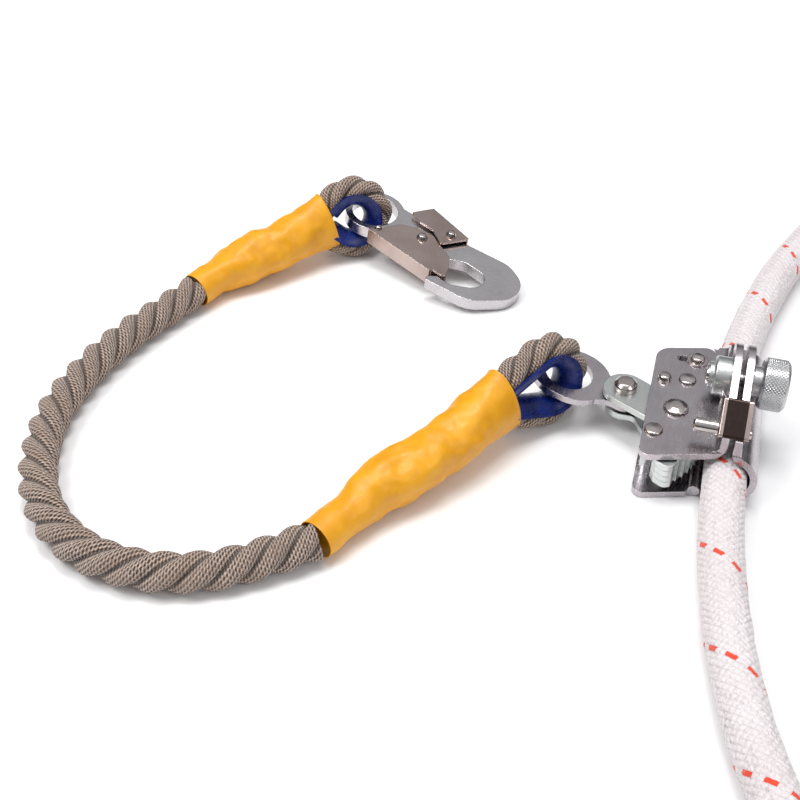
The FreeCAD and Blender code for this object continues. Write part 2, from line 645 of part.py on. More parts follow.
def eye_ring():
    """Flat eye: round tab on the lever screw, waisted neck, oval ring."""
    reach, thickness = dim("ring_reach"), dim("ring_thk")
    outer, tab = dim("ring_outer"), 7.0
    blanks = []
    for label, outline in (
        ("ring_oval", hull_outline((reach, 0), outer, (reach + 4.0, 0), outer - 0.2)),
        ("ring_tab", [circle(0, 0, tab)]),
        ("ring_neck", rounded([
            (0, -6.9), (5.5, -6.9, 3.0), (13.0, -10.5, 4.0), (20.0, -13.0), (20.0, 13.0),
            (12.0, 10.5, 4.0), (5.5, 6.9, 3.0), (0, 6.9)])),
    ):
        blank = new_body(label)
        NODES.remove(blank)
        pad(blank, new_sketch(blank, label + "_outline", "XY_Plane", outline, -thickness / 2),
            "Params.ring_thk")
        blanks.append(blank)
    joined = doc.addObject("Part::MultiFuse", "ring_joined")
    joined.Shapes = blanks
    hole = doc.addObject("Part::Cylinder", "ring_hole_cut")
    hole.setExpression("Radius", "Params.ring_hole")
    hole.Height = 3 * thickness
    hole.Placement = upright(reach + 3.0, 0, -1.5 * thickness)
    bore = doc.addObject("Part::Cylinder", "ring_bore_cut")
    bore.Radius = 3.0
    bore.Height = 3 * thickness
    bore.Placement = upright(0, 0, -1.5 * thickness)
    tools = doc.addObject("Part::MultiFuse", "ring_cutters")
    tools.Shapes = [hole, bore]
    ring_eye = doc.addObject("Part::Cut", "eye_ring")
    ring_eye.Base = joined
    ring_eye.Tool = tools
    ring_eye.Placement = ring_place()
    return keep(ring_eye, "eye_ring")


# ---------------------------------------------------------------- rope eyes with thimbles
def eye_place(centre_xy, heading_deg, lean_deg):
    """Frame of a rope eye: X along its axis, Y up its leaning plane, origin at its centre."""
    heading, lean = math.radians(heading_deg), math.radians(lean_deg)
    axis = V(math.cos(heading), math.sin(heading), 0)
    side = V(-math.sin(heading), math.cos(heading), 0)
    up = side * math.cos(lean) + V(0, 0, 1) * math.sin(lean)
    across = axis.cross(up)
    height = dim("eye_dia") / 2 + dim("eye_bend") * math.sin(lean)
    matrix = FreeCAD.Matrix(axis.x, up.x, across.x, centre_xy[0],
                            axis.y, up.y, across.y, centre_xy[1],
                            axis.z, up.z, across.z, FLOOR + height, 0, 0, 0, 1)
    return FreeCAD.Placement(matrix)


# centre x, y, heading, lean; half turn of the bend; x of the sleeve's mouth; length of a leg
EYE_CENTRES = {"grab": (-81.0, 1.9, 50.0, 78.0), "hook": (-203.8, 106.2, 35.0, 78.0)}
EYE_SHAPES = {"grab": (109.0, -24.0, 24.0), "hook": (132.0, -14.0, 5.4)}
EYES = {name: eye_place((x, y), heading, lean)
        for name, (x, y, heading, lean) in EYE_CENTRES.items()}


def eye_tube(diameter, half_turn, leg):
    """Round bar along an eye: its bend and its two straight legs."""
    bend, radius = dim("eye_bend"), diameter / 2
    arc = Part.makeTorus(bend, radius, V(0, 0, 0), V(0, 0, 1), -180, 180, 2 * half_turn)
    arc.rotate(V(0, 0, 0), V(0, 0, 1), -half_turn)
    turn = math.radians(half_turn)
    for side in (1, -1):
        start = V(bend * math.cos(turn), side * bend * math.sin(turn), 0)
        heading = V(-math.sin(turn), side * math.cos(turn), 0)
        arc = arc.fuse(Part.makeCylinder(radius, leg, start, heading))
    return arc.removeSplitter()


def lip_prism(half_turn, mouth):
    """Everything inside a thimble's lip: a disc, and a taper from it to the sleeve's mouth."""
    lip, turn = dim("thimble_lip"), math.radians(half_turn)
    x, y = lip * math.cos(turn), lip * math.sin(turn)
    end = y + math.cos(turn) * (x - mouth) / math.sin(turn)
    outline = [V(x, y, -30), V(mouth, end, -30), V(mouth, -end, -30), V(x, -y, -30)]
    taper = Part.Face(Part.makePolygon(outline + outline[:1])).extrude(V(0, 0, 60))
    return Part.makeCylinder(lip, 60, V(0, 0, -30)).fuse(taper)


def rope_eyes():
    inner = dim("eye_dia") + 0.6
    for name, place in EYES.items():
        half_turn, mouth, leg = EYE_SHAPES[name]
        beyond_mouth = Part.makeBox(80, 80, 60, V(mouth + 0.2, -40, -30))
        rope = eye_tube(dim("eye_dia"), half_turn, leg).common(beyond_mouth)
        shell = eye_tube(inner + 2 * dim("thimble_wall"), half_turn, leg).cut(
            eye_tube(inner, half_turn, leg))
        thimble = shell.common(lip_prism(half_turn, mouth)).common(beyond_mouth)
        loose("rope_eye_" + name, max(rope.Solids, key=lambda s: s.Volume), place)
        loose("thimble_" + name, max(thimble.Solids, key=lambda s: s.Volume), place)


# ---------------------------------------------------------------- ropes and sleeves
ROPE_LOW = FLOOR + 8.25
LANYARD = [
    (-151.5, -104.5, ROPE_LOW + 1.0), (-168.0, -119.0, ROPE_LOW), (-189.0, -132.5, ROPE_LOW),
    (-214.0, -138.5, ROPE_LOW), (-240.0, -134.5, ROPE_LOW), (-263.5, -119.5, ROPE_LOW),
    (-280.0, -95.0, ROPE_LOW), (-289.0, -64.0, ROPE_LOW), (-288.5, -32.0, ROPE_LOW),
    (-281.0, -2.0, ROPE_LOW), (-271.5, 22.0, ROPE_LOW), (-264.4, 37.5, ROPE_LOW + 1.0),
]
ROPE_MID = -0.5
ROPE_LAID = FLOOR + 9.0
LIFELINE_LOW = [
    (0, 0, ROPE_MID), (0, -42, ROPE_MID), (1.8, -68, ROPE_LAID + 0.3), (5.2, -96, ROPE_LAID + 0.1),
    (11.5, -128, ROPE_LAID + 0.1), (21.0, -158, ROPE_LAID + 0.1), (34.0, -186, ROPE_LAID + 0.1),
]
LIFELINE_HIGH = [
    (0, 0.02, ROPE_MID), (0, 42, ROPE_MID), (2.4, 68, ROPE_LAID + 0.3), (7.4, 96, ROPE_LAID + 0.1),
    (14.6, 126, ROPE_LAID + 0.1), (24.6, 156, ROPE_LAID + 0.1), (37.0, 185, ROPE_LAID + 0.1),
]


def ropes():
    loose("lanyard_rope", tube(LANYARD, dim("lanyard_dia"), "lanyard_rope"))
    loose("lifeline_low", tube(LIFELINE_LOW, dim("lifeline_dia"), "lifeline_low"))
    loose("lifeline_high", tube(LIFELINE_HIGH, dim("lifeline_dia"), "lifeline_high"))


def sleeve_section(centre, heading, major, minor, lean_deg):
    """Elliptic wire across a heading, its long axis leaning lean_deg from the horizontal."""
    forward = V(*heading)
    forward.normalize()
    side = V(0, 0, 1).cross(forward)
    side.normalize()
    lean = math.radians(lean_deg)
    long_axis = side * math.cos(lean) + forward.cross(side) * math.sin(lean)
    centre = V(*centre)
    tip, flank = centre + long_axis * major, centre + forward.cross(long_axis) * minor
    return Part.Wire([Part.Ellipse(tip, flank, centre).toShape()])


def sleeves():
    """Heat-shrunk sleeves over the two splices, from the rope to the mouth of each eye."""
    for name, rope_end, before, stations in (
        ("grab", LANYARD[0], LANYARD[1], [
            (-140.5, -81.5, 9.3, 10.0), (-136.5, -74.0, 11.4, 12.2), (-124.5, -59.5, 12.6, 14.2),
            (-114.6, -46.0, 11.8, 16.0), (-107.0, -33.5, 12.0, 18.6)]),
        ("hook", LANYARD[-1], LANYARD[-2], [
            (-258.0, 51.0, 9.3, 10.2), (-248.5, 62.5, 12.2, 13.2), (-239.8, 72.5, 12.2, 15.0),
            (-230.0, 82.5, 11.6, 17.3)]),
    ):
        place = EYES[name]
        axis = place.Rotation.multVec(V(1, 0, 0))
        mouth = place.multVec(V(EYE_SHAPES[name][1], 0, 0))
        lean = EYE_CENTRES[name][3]
        centres = [V(*rope_end)] + [V(x, y, FLOOR + z) for x, y, _, z in stations] + [mouth]
        radii = [8.9] + [r for _, _, r, _ in stations]
        wires = []
        for i, radius in enumerate(radii):
            ahead = centres[i + 1] - centres[max(i - 1, 0)]
            if i == 0:
                ahead = V(*rope_end) - V(*before)
            wires.append(sleeve_section(centres[i], ahead, radius, radius * 0.985, lean))
        wires.append(sleeve_section(mouth, axis, 15.4, 9.4, lean))
        loose("sleeve_" + name, Part.makeLoft(wires, True, False))


# ---------------------------------------------------------------- snap hook
HOOK_ORIGIN = (-193.8, 114.0, 6.6)
HOOK_HEADING = math.degrees(math.atan2(-0.4206, 0.907))
GATE_PIVOT = (31.7, 1.2)
LOCK_PIVOT = (41.2, 13.6)
STOP_RIVET = (10.9, -9.8)


def hook_place():
    turn = FreeCAD.Rotation(V(0, 0, 1), HOOK_HEADING).multiply(
        FreeCAD.Rotation(V(0, 1, 0), dim("hook_tilt")))
    return FreeCAD.Placement(V(*HOOK_ORIGIN), turn)


HOOK_OUTLINE = [
    (9.0, 13.0), (17.0, 13.6, 20), (50.0, 16.9, 60), (75.0, 21.4, 16), (90.6, 14.5, 14),
    (91.0, 0.0, 14), (77.5, -16.4, 16), (56.0, -20.2, 30), (51.6, -20.6, 1.6), (52.2, -17.2, 2.5),
    (55.2, -14.2, 2.0), (63.5, -14.2, 8), (74.6, -6.0, 9.0), (74.6, 5.4, 6.5), (58.0, 5.4, 8),
    (44.0, -4.5, 6), (37.0, -7.8, 3), (20.0, -8.2, 3),
    (14.0, -12.4, 2), (9.0, -12.2),
]


def hook_parts():
    place = hook_place()
    thickness = dim("hook_thk")
    eye = doc.addObject("Part::Cylinder", "hook_eye_disc")
    eye.setExpression("Radius", "Params.hook_eye_outer")
    eye.setExpression("Height", "Params.hook_thk")
    eye.Placement = upright(0, 0, -thickness / 2)
    blank = new_body("hook_blank")
    NODES.remove(blank)
    pad(blank, new_sketch(blank, "hook_outline", "XY_Plane", rounded(HOOK_OUTLINE),
                          -thickness / 2), "Params.hook_thk")
    joined = doc.addObject("Part::Fuse", "hook_joined")
    joined.Base = eye
    joined.Tool = blank
    holes = []
    for name, (x, y), radius in (("eye", (0, 0), dim("hook_eye")), ("gate", GATE_PIVOT, 1.82),
                                 ("lock", LOCK_PIVOT, 1.82), ("stop", STOP_RIVET, 1.52)):
        cutter = doc.addObject("Part::Cylinder", "hook_cut_" + name)
        cutter.Radius = radius
        cutter.Height = 3 * thickness
        cutter.Placement = upright(x, y, -1.5 * thickness)
        holes.append(cutter)
    holes[0].setExpression("Radius", "Params.hook_eye")
    tools = doc.addObject("Part::MultiFuse", "hook_cutters")
    tools.Shapes = holes
    cut = doc.addObject("Part::Cut", "hook_frame")
    cut.Base = joined
    cut.Tool = tools
    cut.Placement = place
    keep(cut, "hook_frame")

    half = thickness / 2
    gate_thk, lock_thk = dim("gate_sheet"), dim("lever_sheet")
    gate_in = half + 0.25
    lock_in = gate_in + gate_thk + 0.25
    gate_out, lock_out = gate_in + gate_thk, lock_in + lock_thk

    folded("hook_gate", GATE_OUTLINE, gate_in, gate_out, GATE_CHANNEL, (*GATE_PIVOT, 1.86), place)
    folded("hook_lock", LOCK_OUTLINE, lock_in, lock_out, LOCK_CHANNEL, (*LOCK_PIVOT, 1.86), place)
    for name, (x, y), level in (("gate_rivet", GATE_PIVOT, gate_out),
                                ("lock_rivet", LOCK_PIVOT, lock_out)):
        turned(name, ball_rivet(1.8, level + 0.04, 2.9, 2.4),
               place.multiply(upright(x, y)))
    turned("stop_rivet", ball_rivet(1.5, half, 2.05, 2.0), place.multiply(upright(*STOP_RIVET)))
    for name, (x, y), coil in (("gate_spring", (25.5, -11.1), 1.5),
                               ("lock_spring", (36.0, 17.1), 1.0)):
        helix = Part.makeHelix(1.15, 4.6, coil)
        first = helix.Edges[0]
        start, heading = first.valueAt(first.FirstParameter), first.tangentAt(first.FirstParameter)
        ring = Part.Wire([Part.Circle(start, heading, 0.4).toShape()])
        loose(name, helix.makePipeShell([ring], True, True),
              place.multiply(upright(x, y, -2.3)))


def ball_rivet(shank, level, head, height):
    """Profile of a rivet with the same domed head at both ends."""
    return [(0, -level - height), (head * 0.62, -level - height * 0.86, 0.6),
            (head, -level - 0.35), (head, -level), (shank, -level), (shank, level), (head, level),
            (head, level + 0.35), (head * 0.62, level + height * 0.86, 0.6), (0, level + height)]


GATE_OUTLINE = [
    (8.6, -15.3, 0.6), (51.2, -15.3, 1.5), (51.3, -13.5), (58.6, -13.4, 1.5), (57.2, -8.5, 6),
    (51.4, 0.4, 5), (41.6, 4.3, 8), (33.8, 7.6, 8), (24.9, 5.2, 5), (17.9, 1.5, 6),
    (13.7, -6.0, 2), (13.5, -12.3, 1), (8.6, -12.8),
]
GATE_CHANNEL = [(0.0, -13.9), (70.0, -13.9), (70.0, 30.0), (0.0, 30.0)]
LOCK_OUTLINE = [
    (15.5, 11.6, 0.8), (21.0, 23.2, 1.0), (49.6, 18.6, 0.8), (42.0, 4.0, 1.2), (32.2, 9.4, 3),
    (23.8, 9.0, 3),
]
LOCK_CHANNEL = [(10.0, -30.0), (60.0, -30.0), (60.0, 15.8), (10.0, 23.85)]


def folded(label, outline, inner, outer, channel, hole, place):
    """Sheet folded to a U: a block of the outline, hollowed between its two cheeks."""
    body = new_body(label)
    pad(body, new_sketch(body, label + "_outline", "XY_Plane", rounded(outline)), 2 * outer,
        midplane=True)
    hollow = body.newObject("PartDesign::Pocket", label + "_hollow")
    hollow.Profile = new_sketch(body, label + "_channel", "XY_Plane", rounded(channel))
    hollow.Length = 2 * inner
    hollow.Midplane = True
    pocket(body, new_sketch(body, label + "_pivot", "XY_Plane", [circle(*hole)]))
    body.Placement = place
    return body


# ---------------------------------------------------------------- build and write
front_fin_holes(front_plate())
back_plate()
rope_door()
body_fasteners()
closure_screw()
latch_clip()
park_pin()
cam_lever()
eye_ring()
rope_eyes()
ropes()
sleeves()
hook_parts()

doc.recompute()
for item in doc.Objects:
    if {"Invalid", "Error"} & set(item.State):
        raise RuntimeError("object %s is %s" % (item.Name, item.State))
os.makedirs("parts", exist_ok=True)
total = 0.0
for node in NODES:
    shape = node.Shape
    if shape.isNull() or not shape.isValid():
        raise RuntimeError("node %s has a bad shape" % node.Label)
    if len(shape.Solids) != 1:
        raise RuntimeError("node %s has %d solids" % (node.Label, len(shape.Solids)))
    total += shape.Volume
    shape.exportStep("parts/%s.step" % node.Label)
print("%d nodes, %.1f cm3" % (len(NODES), total / 1000))
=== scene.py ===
import json
import math

import bpy
import numpy as np
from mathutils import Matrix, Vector, noise


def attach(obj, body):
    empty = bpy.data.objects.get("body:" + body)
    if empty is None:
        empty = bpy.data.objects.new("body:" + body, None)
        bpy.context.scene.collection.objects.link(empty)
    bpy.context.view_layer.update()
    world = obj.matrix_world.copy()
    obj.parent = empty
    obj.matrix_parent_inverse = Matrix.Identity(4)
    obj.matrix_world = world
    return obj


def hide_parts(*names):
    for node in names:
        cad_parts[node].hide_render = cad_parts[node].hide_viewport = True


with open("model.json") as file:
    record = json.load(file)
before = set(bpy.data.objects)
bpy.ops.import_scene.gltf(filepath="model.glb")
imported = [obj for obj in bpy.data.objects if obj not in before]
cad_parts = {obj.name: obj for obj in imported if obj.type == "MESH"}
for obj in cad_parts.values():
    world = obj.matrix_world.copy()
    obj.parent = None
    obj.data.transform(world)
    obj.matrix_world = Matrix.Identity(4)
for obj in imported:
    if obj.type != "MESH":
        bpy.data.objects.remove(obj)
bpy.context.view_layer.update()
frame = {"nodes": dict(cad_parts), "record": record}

FLOOR = -13.0                        # the surface that the object lies on
LANYARD_DIAMETER, LANYARD_LAY = 16.5, 39.0
EYE_ROPE, EYE_BEND, EYE_LAY = 13.6, 15.2, 37.0
LIFELINE_DIAMETER = 18.0
STRAND_STEPS = 16                    # points round one strand of the lanyard
STRAND_WIDTH = 1.4                   # UV width of one strand of the lanyard
STRAND_BRAID = 21.0                  # how fine the braid of one strand is
CARRIERS, BRAID_PITCH = 16, 48.0     # yarns each way round the lifeline, and their pitch
YARN_RELIEF = 0.75                   # how far a yarn of the lifeline stands up
TRACER_START = {"low": 20.3, "high": 0.0}
ROUTE_STEP, EYE_STEP = 0.6, 0.5      # distance between rings of a rope
BEVEL_SAMPLES = 12


# ---------------------------------------------------------------- materials
class Finish:
    """A Principled material and short-hand for its node tree."""

    def __init__(self, name, colour, roughness, metallic=0.0):
        self.material = bpy.data.materials.new(name)
        self.material.use_nodes = True
        self.tree = self.material.node_tree
        self.shader = self.tree.nodes["Principled BSDF"]
        self.shader.inputs["Base Color"].default_value = (*colour, 1)
        self.shader.inputs["Roughness"].default_value = roughness
        self.shader.inputs["Metallic"].default_value = metallic
        self.where = self.tree.nodes.new("ShaderNodeTexCoord")

    def feed(self, socket, value):
        if isinstance(value, bpy.types.NodeSocket):
            self.tree.links.new(value, socket)
        else:
            socket.default_value = value

    def math(self, operation, a, b=0.0, c=0.0):
        node = self.tree.nodes.new("ShaderNodeMath")
        node.operation = operation
        for socket, value in zip(node.inputs, (a, b, c)):
            self.feed(socket, value)
        return node.outputs[0]

    def noise(self, scale, stretch=(1, 1, 1), detail=3.0, space="Object"):
        mapping = self.tree.nodes.new("ShaderNodeMapping")
        mapping.inputs["Scale"].default_value = stretch
        self.tree.links.new(self.where.outputs[space], mapping.inputs["Vector"])
        node = self.tree.nodes.new("ShaderNodeTexNoise")
        node.inputs["Scale"].default_value = scale
        node.inputs["Detail"].default_value = detail
        self.tree.links.new(mapping.outputs[0], node.inputs["Vector"])
        return node.outputs["Fac"]

    def spread(self, value, low, high, to_low, to_high):
        node = self.tree.nodes.new("ShaderNodeMapRange")
        for name, number in (("From Min", low), ("From Max", high),
                             ("To Min", to_low), ("To Max", to_high)):
            node.inputs[name].default_value = number
        self.feed(node.inputs["Value"], value)
        return node.outputs[0]

    def mix(self, share, first, second):
        node = self.tree.nodes.new("ShaderNodeMix")
        node.data_type = "RGBA"
        self.feed(node.inputs[0], share)
        for socket, colour in ((node.inputs[6], first), (node.inputs[7], second)):
            self.feed(socket, colour if isinstance(colour, bpy.types.NodeSocket) else (*colour, 1))
        return node.outputs[2]

    def colour(self, value):
        self.tree.links.new(value, self.shader.inputs["Base Color"])

    def roughness(self, value):
        self.tree.links.new(value, self.shader.inputs["Roughness"])

    def bump(self, height, distance, round_edges=0.0):
        node = self.tree.nodes.new("ShaderNodeBump")
        node.inputs["Strength"].default_value = 1.0
        node.inputs["Distance"].default_value = distance
        self.tree.links.new(height, node.inputs["Height"])
        if round_edges:
            bevel = self.tree.nodes.new("ShaderNodeBevel")
            bevel.samples = BEVEL_SAMPLES
            bevel.inputs["Radius"].default_value = round_edges
            self.tree.links.new(bevel.outputs[0], node.inputs["Normal"])
        self.tree.links.new(node.outputs[0], self.shader.inputs["Normal"])

    def sweep_uv(self):
        """UV coordinates of a swept piece: length along it, and place around it."""
        node = self.tree.nodes.new("ShaderNodeSeparateXYZ")
        self.tree.links.new(self.where.outputs["UV"], node.inputs[0])
        return node.outputs[0], node.outputs[1]


def metal(name, light, dark, rough, grain=(1, 1, 1), relief=0.000003, edge=0.0003, scuffs=0.14):
    """Plated or bare steel: cloudy tint, fine grain along one direction, scuffs and soft edges."""
    finish = Finish(name, light, rough, 1.0)
    clouds = finish.noise(55, detail=4)
    fine = finish.noise(900, grain, detail=2)
    marks = finish.noise(160, (1, 3.2, 1), detail=6)
    scuffed = finish.spread(marks, 0.56, 0.68, 0.0, scuffs)
    tint = finish.mix(finish.spread(clouds, 0.25, 0.78, 0.0, 1.0), light, dark)
    worn = finish.mix(scuffed, tint, tuple(0.55 * c for c in dark))
    finish.colour(worn)
    spread = finish.spread(fine, 0.3, 0.7, 0.8 * rough, 1.25 * rough)
    finish.roughness(finish.math("ADD", spread, finish.math("MULTIPLY", scuffed, 0.35)))
    finish.bump(fine, relief, edge)
    return finish.material


def laid_fibre():
    """Taupe strands, each a fine braid of light and dark fibres with painted shade where the braid is
    low, and painted shade down in the lay.
    """
    finish = Finish("lanyard_fibre", (0.30, 0.235, 0.185), 0.72)
    along, around = finish.sweep_uv()
    lean = finish.math("MULTIPLY", around, 0.75)
    first = finish.math("SINE", finish.math("MULTIPLY", finish.math("ADD", along, lean), STRAND_BRAID))
    second = finish.math("SINE", finish.math("MULTIPLY", finish.math("SUBTRACT", along, lean),
                                             STRAND_BRAID))
    plait = finish.math("MULTIPLY", first, second)
    hairs = finish.noise(1300, detail=3)
    blotches = finish.noise(70, detail=3)
    weave = finish.math("ADD", plait, finish.math("MULTIPLY", finish.math("SUBTRACT", hairs, 0.5), 1.8))
    # Fibre tone from the hair noise, plus painted shade: near-black where the braid's bump is lowest.
    base = finish.mix(finish.spread(weave, -0.6, 0.55, 0.0, 1.0),
                      (0.030, 0.018, 0.013), (0.69, 0.52, 0.425))
    warm = finish.mix(finish.spread(blotches, 0.38, 0.66, 0.0, 0.40), base, (0.33, 0.22, 0.155))
    # Painted shade: near-black down in the lay, where one strand meets the next.
    edge = finish.math("ABSOLUTE", finish.math("SUBTRACT", finish.math("FRACT", finish.math(
        "DIVIDE", around, STRAND_WIDTH)), 0.5))
    finish.colour(finish.mix(finish.spread(edge, 0.40, 0.49, 0.0, 0.88), warm, (0.012, 0.008, 0.006)))
    finish.bump(weave, 0.0006)
    finish.shader.inputs["Sheen Weight"].default_value = 0.2
    return finish.material


def braided_fibre():
    """Off-white sheath with one red tracer yarn: it shows wherever it passes over the others."""
    finish = Finish("lifeline_sheath", (0.80, 0.76, 0.77), 0.62)
    along, around = finish.sweep_uv()
    one = finish.math("ADD", around, along)
    other = finish.math("SUBTRACT", around, along)
    yarn, crossing = finish.math("FLOOR", one), finish.math("FLOOR", other)
    turn = finish.math("FLOORED_MODULO", finish.math("ADD", yarn, crossing), 4.0)
    over = finish.math("LESS_THAN", turn, 1.5)
    tracer = finish.math("LESS_THAN", finish.math("FLOORED_MODULO", yarn, float(CARRIERS)), 0.5)
    across = finish.math("ABSOLUTE", finish.math("SUBTRACT", finish.math("FRACT", one), 0.5))
    inside = finish.math("LESS_THAN", across, 0.43)
    red = finish.math("MULTIPLY", finish.math("MULTIPLY", over, tracer), inside)
    # Painted shade: the sheath goes darker towards each yarn's edges, in the gaps between yarns and at
    # their crossings.
    gap = finish.math("MAXIMUM", across, finish.math("MULTIPLY", finish.math(
        "ABSOLUTE", finish.math("SUBTRACT", finish.math("FRACT", other), 0.5)), 0.9))
    hairs = finish.noise(1100, detail=3)
    cloud = finish.noise(45, detail=4)
    white = finish.mix(finish.spread(gap, 0.26, 0.52, 0.0, 0.36), (0.76, 0.71, 0.72), (0.42, 0.345, 0.36))
    soiled = finish.mix(finish.spread(cloud, 0.42, 0.70, 0.0, 0.35), white, (0.62, 0.53, 0.54))
    bright = finish.mix(finish.spread(hairs, 0.55, 0.75, 0.0, 0.6), soiled, (0.93, 0.91, 0.92))
    finish.colour(finish.mix(red, bright, (0.76, 0.050, 0.010)))
    knots = finish.noise(340, detail=3)
    finish.bump(finish.math("ADD", knots, finish.math("MULTIPLY", hairs, 0.3)), 0.0016)
    finish.shader.inputs["Sheen Weight"].default_value = 0.3
    return finish.material


def shrunk_plastic():
    """Yellow heat-shrink: a skin with soft dents, painted shade in the lows of the dents, a little dirt
    and a dull gloss.
    """
    finish = Finish("sleeve_plastic", (0.90, 0.47, 0.012), 0.42)
    dents = finish.noise(85, detail=3)
    grain = finish.noise(650, detail=4)
    dirt = finish.noise(120, (1, 1, 2), detail=6)
    # Painted shade: the yellow is darker where the dents' bump is low.
    base = finish.mix(finish.spread(dents, 0.35, 0.65, 0.0, 1.0),
                      (0.70, 0.300, 0.002), (0.79, 0.365, 0.003))
    finish.colour(finish.mix(finish.spread(dirt, 0.60, 0.78, 0.0, 0.22), base, (0.60, 0.26, 0.008)))
    finish.roughness(finish.spread(grain, 0.3, 0.7, 0.34, 0.52))
    finish.bump(finish.math("ADD", dents, finish.math("MULTIPLY", grain, 0.06)), 0.0006)
    return finish.material


def moulded_plastic():
    """Royal blue thimble plastic, glossy, with moulding waves and fine scratches."""
    finish = Finish("thimble_plastic", (0.004, 0.022, 0.22), 0.25)
    waves = finish.noise(130, detail=3)
    scratches = finish.noise(420, (1, 1, 6), detail=5)
    # Painted shade: the blue is darker where the moulding waves' bump is low.
    base = finish.mix(finish.spread(waves, 0.35, 0.7, 0.0, 1.0),
                      (0.001, 0.008, 0.085), (0.003, 0.020, 0.19))
    finish.colour(finish.mix(finish.spread(scratches, 0.64, 0.78, 0.0, 0.20), base, (0.05, 0.09, 0.24)))
    finish.roughness(finish.spread(scratches, 0.3, 0.7, 0.18, 0.42))
    finish.bump(finish.math("ADD", waves, finish.math("MULTIPLY", scratches, 0.2)), 0.0004)
    return finish.material


FINISHES = {
    "nickel_sheet": metal("nickel_sheet", (0.56, 0.525, 0.55), (0.44, 0.40, 0.425), 0.25, (1, 0.25, 1)),
    "steel_pin": metal("steel_pin", (0.60, 0.60, 0.61), (0.46, 0.46, 0.47), 0.24),
    "rivet_steel": metal("rivet_steel", (0.66, 0.63, 0.62), (0.42, 0.36, 0.34), 0.13,
                         relief=0.000004, edge=0.0004, scuffs=0.30),
    "zinc_steel": metal("zinc_steel", (0.66, 0.69, 0.68), (0.54, 0.57, 0.55), 0.34, edge=0.0004),
    "spring_wire": metal("spring_wire", (0.58, 0.57, 0.56), (0.44, 0.43, 0.42), 0.2),
    "knurled_steel": metal("knurled_steel", (0.62, 0.62, 0.63), (0.45, 0.45, 0.46), 0.3),
    "copper_tint_steel": metal("copper_tint_steel", (0.55, 0.455, 0.42), (0.40, 0.315, 0.285), 0.2,
                               (1, 0.3, 1)),
    "hook_steel": metal("hook_steel", (0.60, 0.575, 0.59), (0.50, 0.475, 0.485), 0.24, (0.3, 1, 1),
                        edge=0.0006),
    "lanyard_fibre": laid_fibre(),
    "lifeline_sheath": braided_fibre(),
    "sleeve_plastic": shrunk_plastic(),
    "thimble_plastic": moulded_plastic(),
}


def clip_finish():
    """The latch clip: dark lacquered web between bright copper-tinted folds."""
    material = metal("latch_clip_finish", (0.60, 0.49, 0.46), (0.44, 0.35, 0.33), 0.17, edge=0.0005)
    tree = material.node_tree
    shader = tree.nodes["Principled BSDF"]
    where, parts = tree.nodes.new("ShaderNodeTexCoord"), tree.nodes.new("ShaderNodeSeparateXYZ")
    away, band = tree.nodes.new("ShaderNodeMath"), tree.nodes.new("ShaderNodeMapRange")
    web = tree.nodes.new("ShaderNodeMix")
    web.data_type = "RGBA"
    tree.links.new(where.outputs["Object"], parts.inputs[0])
    away.operation = "COMPARE"
    away.inputs[1].default_value, away.inputs[2].default_value = -0.0006, 0.0042
    tree.links.new(parts.outputs[0], away.inputs[0])
    tree.links.new(away.outputs[0], band.inputs["Value"])
    tree.links.new(band.outputs[0], web.inputs[0])
    tree.links.new(shader.inputs["Base Color"].links[0].from_socket, web.inputs[6])
    web.inputs[7].default_value = (0.055, 0.038, 0.034, 1)
    tree.links.new(web.outputs[2], shader.inputs["Base Color"])
    return material


CLIP = clip_finish()
for part in frame["record"]["subparts"]:
    node = frame["nodes"].get(part["node"])
    if node is None:
        continue
    for slot in node.material_slots:
        slot.material = FINISHES[part["material_slot"]]
for slot in frame["nodes"]["latch_clip"].material_slots:
    slot.material = CLIP


# ---------------------------------------------------------------- swept meshes
def spline_line(points):
    """Points along the smooth NURBS spline that has these as its control points."""
    curve = bpy.data.curves.new("route", "CURVE")
    curve.dimensions = "3D"
    curve.resolution_u = 32
    spline = curve.splines.new("NURBS")
    spline.points.add(len(points) - 1)
    for point, place in zip(spline.points, points):
        point.co = (*place, 1.0)
    spline.order_u = 3
    spline.use_endpoint_u = True
    holder = bpy.data.objects.new("route", curve)
    bpy.context.collection.objects.link(holder)
    mesh = bpy.data.meshes.new_from_object(holder)
    line = np.array([vertex.co for vertex in mesh.vertices], float)
    bpy.data.objects.remove(holder)
    bpy.data.meshes.remove(mesh)
    bpy.data.curves.remove(curve)
    return line


def evenly(line, step):
    """The same line as points about one step apart, and their distance along it."""
    reach = np.concatenate([[0], np.cumsum(np.linalg.norm(np.diff(line, axis=0), axis=1))])
    along = np.linspace(0, reach[-1], max(3, int(round(reach[-1] / step)) + 1))
    return np.stack([np.interp(along, reach, line[:, k]) for k in range(3)], 1), along


def unit(v):
    """The same directions, each one long."""
    return v / np.linalg.norm(v, axis=-1, keepdims=True)


def frames(line, up):
    """At each point of a line: two directions across it, the first as near to up as can be."""
    ahead = unit(np.gradient(line, axis=0))
    up = np.broadcast_to(np.array(up, float), line.shape)
    first = unit(up - (up * ahead).sum(1, keepdims=True) * ahead)
    return first, np.cross(ahead, first)


